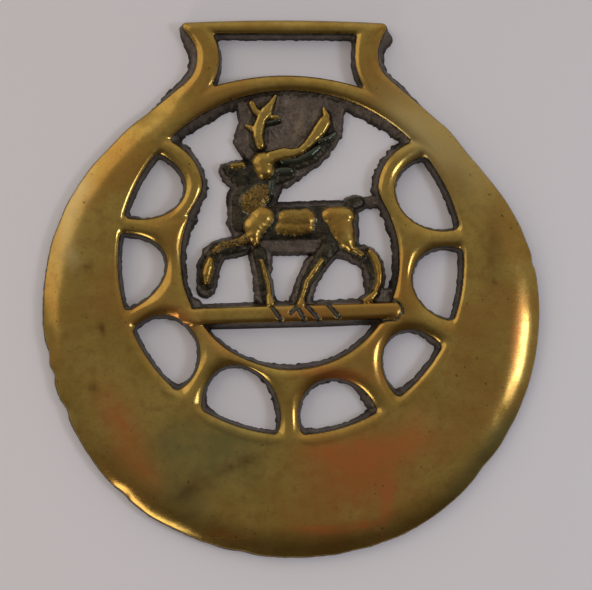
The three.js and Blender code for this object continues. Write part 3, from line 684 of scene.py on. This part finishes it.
layers = {"polish": polish, "back": 1 - on_front}
layers.update({name: patina(all_x, all_y, spots) * on_front for name, spots in PATINA.items()})
for name, values in layers.items():
    attribute = mesh.attributes.new(name, "FLOAT", "POINT")
    attribute.data.foreach_set("value", values.astype(np.float32))
print("attributes:", sorted(layers))

# %% [markdown]
# ## The finish
# Polished yellow brass is a mirror with a warm tint, blurred a little by fine scratches. Its deep parts
# are casting skin: a dark, grey-brown oxide with a dull gleam. The `polish` attribute chooses between
# the two, broken up by fine noise so that the change is speckled and not a clean line. The `back`
# attribute gives the back its own plain, dull brass.


# %% Helpers for materials
def linear(code):
    """An sRGB hex colour as linear light: each channel by the sRGB curve."""
    channels = [int(code[i:i + 2], 16) / 255 for i in (0, 2, 4)]
    return [c / 12.92 if c <= 0.04045 else ((c + 0.055) / 1.055) ** 2.4 for c in channels] + [1.0]


def node(tree, kind, inputs=(), **settings):
    """Adds one node, sets its settings, and sets or links each of its inputs. Returns the node."""
    made = tree.nodes.new(kind)
    for name, value in settings.items():
        setattr(made, name, value)
    for name, value in dict(inputs).items():
        if isinstance(value, bpy.types.NodeSocket):
            tree.links.new(value, made.inputs[name])
        else:
            made.inputs[name].default_value = value
    return made


FACTOR, COLOUR_A, COLOUR_B, COLOUR_OUT = 0, 6, 7, 2        # sockets of a colour Mix node

# %% Polished brass over casting skin
finish = bpy.data.materials.new("polished_cast_brass")
finish.use_nodes = True
tree = finish.node_tree
tree.nodes.clear()
place = node(tree, "ShaderNodeTexCoord").outputs["Object"]
seen = {name: node(tree, "ShaderNodeAttribute", attribute_name=name).outputs["Fac"] for name in layers}


def noise(size_mm, detail=2.0, vector=place):
    """Noise whose lumps are size_mm across, from 0 to 1."""
    values = {"Vector": vector, "Scale": 1 / (size_mm * MM), "Detail": detail}
    return node(tree, "ShaderNodeTexNoise", values).outputs["Fac"]


def math(operation, a, b=0.0, clamp=False):
    """One sum on two values."""
    return node(tree, "ShaderNodeMath", {0: a, 1: b}, operation=operation, use_clamp=clamp).outputs[0]


def spread(value, low, high, start=0.0, end=1.0):
    """Moves a value's range low..high to start..end, with a smooth S."""
    values = {"Value": value, "From Min": low, "From Max": high, "To Min": start, "To Max": end}
    return node(tree, "ShaderNodeMapRange", values, interpolation_type="SMOOTHSTEP").outputs["Result"]


def tint(factor, a, b):
    """Mixes two colours by a factor. Each is a hex code or another node's colour."""
    a, b = (linear(colour) if isinstance(colour, str) else colour for colour in (a, b))
    values = {FACTOR: factor, COLOUR_A: a, COLOUR_B: b}
    return node(tree, "ShaderNodeMix", values, data_type="RGBA").outputs[COLOUR_OUT]


def portion(value, part):
    """A part of a value, such as half of it."""
    return math("MULTIPLY", value, part)


def turned(angle, stretch):
    """Object coordinates turned about Z and stretched along the new X, for scratches."""
    values = {"Vector": place, "Rotation": (0, 0, np.radians(angle)), "Scale": (1 / stretch, 1, 1)}
    return node(tree, "ShaderNodeMapping", values, vector_type="POINT").outputs["Vector"]


# %% Patterns
clouds = noise(6.0, 3.0)                          # broad, uneven tarnish
mottle = noise(1.6, 4.0)                          # blotches a finger's rub apart
speck = noise(0.32, 3.0)                          # sand grain, drawn coarse enough to show
scratch_a = noise(0.22, 1.0, turned(38, 22))      # polishing scratches, two ways across
scratch_b = noise(0.25, 1.0, turned(-24, 18))
scratches = math("MAXIMUM", spread(scratch_a, 0.55, 0.8), spread(scratch_b, 0.55, 0.8))
pits = spread(noise(0.7, 0.0), 0.80, 0.86)        # pinholes of the casting
broken = math("ADD", seen["polish"], portion(math("SUBTRACT", speck, 0.5), 0.8))
bright = spread(broken, 0.34, 0.62)
ragged = math("ADD", portion(clouds, 1.2), portion(mottle, 0.7))
stain = {name: math("MULTIPLY", seen[name], ragged, clamp=True) for name in PATINA}
print("patterns:", len(tree.nodes), "nodes so far")

# %% Colour of the polished brass
metal = tint(spread(clouds, 0.35, 0.65), "B59850", "A88A44")
for factor, code in (
        (portion(spread(mottle, 0.45, 0.7), 0.45), "94713A"),              # brown blotches
        (portion(spread(noise(11.0, 3.0), 0.46, 0.66), 0.5), "A8783A"),    # broad copper-red heat marks
        (portion(spread(noise(0.5, 2.0), 0.4, 0.8), 0.25), "7C6A38"),      # fine dirt
        (spread(seen["polish"], 0.95, 0.3), "7E6432"),                   # darker where the mop only touched
        (portion(stain["red"], 0.75), "C4703C"),
        # grey-green film, and on the lower right rim a painted reflection of the cool window
        (portion(stain["green"], 0.7), "7C7A4D"),
        # pale: partly bare metal rubbed pale, partly painted reflection of the lamps
        (portion(stain["pale"], 0.7), "C6B27C"),
        (portion(stain["smudge"], 0.85), "563C24"),
        (portion(pits, 0.6), "46361E")):
    metal = tint(factor, metal, code)

# %% Colour of the casting skin
ground = tint(spread(mottle, 0.3, 0.7), "5C524A", "75695E")              # the web: grey-brown, dusty
limbs = tint(spread(mottle, 0.3, 0.7), "2A2620", "484335")               # round the stag: nearly black
back_brass = tint(spread(mottle, 0.3, 0.7), "6E5A34", "8A7342")          # the back: dull, never rubbed
up = node(tree, "ShaderNodeSeparateXYZ", {0: place}).outputs["Z"]
gleam = math("MULTIPLY", spread(seen["polish"], 0.16, 0.22), spread(seen["polish"], 0.4, 0.28))
skin = tint(spread(seen["polish"], 0.0, 0.06), ground, limbs)
for factor, code in (
        (portion(stain["dust"], 0.7), "8E7E70"),
        (portion(spread(speck, 0.55, 0.75), 0.45), "857553"),              # worn tips of the grain
        (portion(spread(speck, 0.45, 0.3), 0.5), "1A1814"),                # dirt between the grains
        (spread(up, 0.1 * MM, 1.2 * MM, 0.75, 0.0), "161410"),           # walls darken towards the back: partly oxide, partly painted shade on the steep sides
        (portion(seen["back"], 0.85), back_brass),
        (portion(gleam, 0.7), "4E5448")):                                  # green-grey gleam of smooth skin
    skin = tint(factor, skin, code)
colour = tint(bright, skin, metal)

# %% Gloss, relief and the finished surface
gloss = math("ADD", 0.13, portion(scratches, 0.08))                        # roughness of the polished metal
for more in (portion(stain["smudge"], 0.2), portion(mottle, 0.1),
             spread(seen["polish"], 0.98, 0.85, 0.0, 0.1),
             portion(math("ADD", stain["pale"], stain["red"]), 0.16)):
    gloss = math("ADD", gloss, more)
dull = spread(seen["polish"], 0.02, 0.22, 0.5, 0.12)                     # roughness of the skin
blur = node(tree, "ShaderNodeMix", {0: bright, 2: dull, 3: gloss}, data_type="FLOAT").outputs[0]
metallic = node(tree, "ShaderNodeMix", {0: bright, 2: 0.8, 3: 1.0}, data_type="FLOAT").outputs[0]
relief = math("MULTIPLY", math("SUBTRACT", 1.0, bright), math("ADD", speck, mottle))
relief = math("ADD", relief, portion(scratches, -0.01))
bump = node(tree, "ShaderNodeBump", {"Height": relief, "Strength": 0.5, "Distance": 0.1 * MM})
surface = node(tree, "ShaderNodeBsdfPrincipled", {
    "Base Color": colour, "Metallic": metallic, "Roughness": blur, "Normal": bump.outputs["Normal"]})
node(tree, "ShaderNodeOutputMaterial", {"Surface": surface.outputs["BSDF"]})
mesh.materials.append(finish)
print("finish:", len(tree.nodes), "nodes")

# %% [markdown]
# ## Floor, light and camera
# The brass lies on its back on a plain pale table. A polished face shows what it mirrors, so the flat face
# mirrors only the dim room overhead and stays dark and rich, while the rounded edges pick up the lamps: a
# small cool window to the right, a broad warm lamp low on the left beyond the loop, and a weak one at the
# front left. The room is paler beyond the loop than on the near side. The camera looks down from just
# left of and below the middle.

# %% Floor
REACH = 6.0                                       # half the side of the table top, metres
CLEARANCE = 0.00003                               # how far it lies below the back, metres
table_top = bpy.data.meshes.new("table_top")
corners = [(-REACH, -REACH), (REACH, -REACH), (REACH, REACH), (-REACH, REACH)]
table_top.from_pydata([(x, y, -CLEARANCE) for x, y in corners], [], [(0, 1, 2, 3)])
floor = bpy.data.objects.new("table_top", table_top)
bpy.context.scene.collection.objects.link(floor)
paint = bpy.data.materials.new("pale_matt_board")
paint.use_nodes = True
board = paint.node_tree.nodes["Principled BSDF"]
board.inputs["Base Color"].default_value = linear("F5F2F6")
board.inputs["Roughness"].default_value = 0.75
table_top.materials.append(paint)


# %% Lights
def soft_light(name, place_mm, size_mm, watts, colour):
    """A square area light at a place, facing the middle of the brass."""
    lamp = bpy.data.lights.new(name, "AREA")
    lamp.shape = "SQUARE"
    lamp.size = size_mm * MM
    lamp.energy = watts
    lamp.color = linear(colour)[:3]
    holder = bpy.data.objects.new(name, lamp)
    at = Vector(place_mm) * MM
    holder.location = at
    holder.rotation_euler = (-at).to_track_quat("-Z", "Y").to_euler()
    bpy.context.scene.collection.objects.link(holder)


soft_light("window_right", (248, -34, 226), 72, 0.17, "E2EAFF")
soft_light("warm_lamp_left", (-280, 165, 160), 320, 0.23, "FFEEDC")
soft_light("lamp_front_left", (-190, -270, 110), 120, 0.16, "FFF6EC")

# %% The room
world = bpy.data.worlds.new("dim_room")
bpy.context.scene.world = world
world.use_nodes = True
sky = world.node_tree
sky.nodes.clear()
direction = node(sky, "ShaderNodeTexCoord").outputs["Generated"]
aside = node(sky, "ShaderNodeSeparateXYZ", {0: direction}).outputs
room = linear("A9A5A3")
for axis, start, end, shade in (
        ("Z", 0.25, 0.95, "9E9B99"),              # overhead
        ("Y", 0.02, 0.3, "ACA69F"),               # a little beyond the loop
        ("Y", 0.35, 0.9, "D4CEC6"),               # far beyond it, low down
        ("Y", -0.12, -0.7, "5A5450")):            # the near side
    part = node(sky, "ShaderNodeMapRange", {"Value": aside[axis], "From Min": start, "From Max": end})
    room = node(sky, "ShaderNodeMix", {FACTOR: part.outputs["Result"], COLOUR_A: room,
                                       COLOUR_B: linear(shade)},
                data_type="RGBA").outputs[COLOUR_OUT]
glow = node(sky, "ShaderNodeBackground", {"Color": room, "Strength": 1.0})
node(sky, "ShaderNodeOutputWorld", {"Surface": glow.outputs[0]})

# %% Camera
CAMERA = Vector((-12.0, -12.2, 168.0))            # mm from the disc's centre
TARGET = Vector((0.0, 1.4, 2.5))
ROLL = np.radians(-1.2)
LENS, SENSOR = 61.54, 36                          # mm
back = (CAMERA - TARGET).normalized()
side = Vector((0, 1, 0)).cross(back).normalized()
above = back.cross(side)
right = side * np.cos(ROLL) + above * np.sin(ROLL)
above = above * np.cos(ROLL) - side * np.sin(ROLL)
lens = bpy.data.cameras.new("camera")
lens.sensor_width = SENSOR
lens.lens = LENS
lens.clip_start = 0.005
camera = bpy.data.objects.new("camera", lens)
bpy.context.scene.collection.objects.link(camera)
spot = (CAMERA + Vector((CENTRE_X, CENTRE_Y, 0))) * MM
camera.matrix_world = Matrix.Translation(spot) @ Matrix((right, above, back)).transposed().to_4x4()
bpy.context.scene.camera = camera
bpy.context.scene.view_settings.view_transform = "Standard"
bpy.context.scene.view_settings.look = "None"
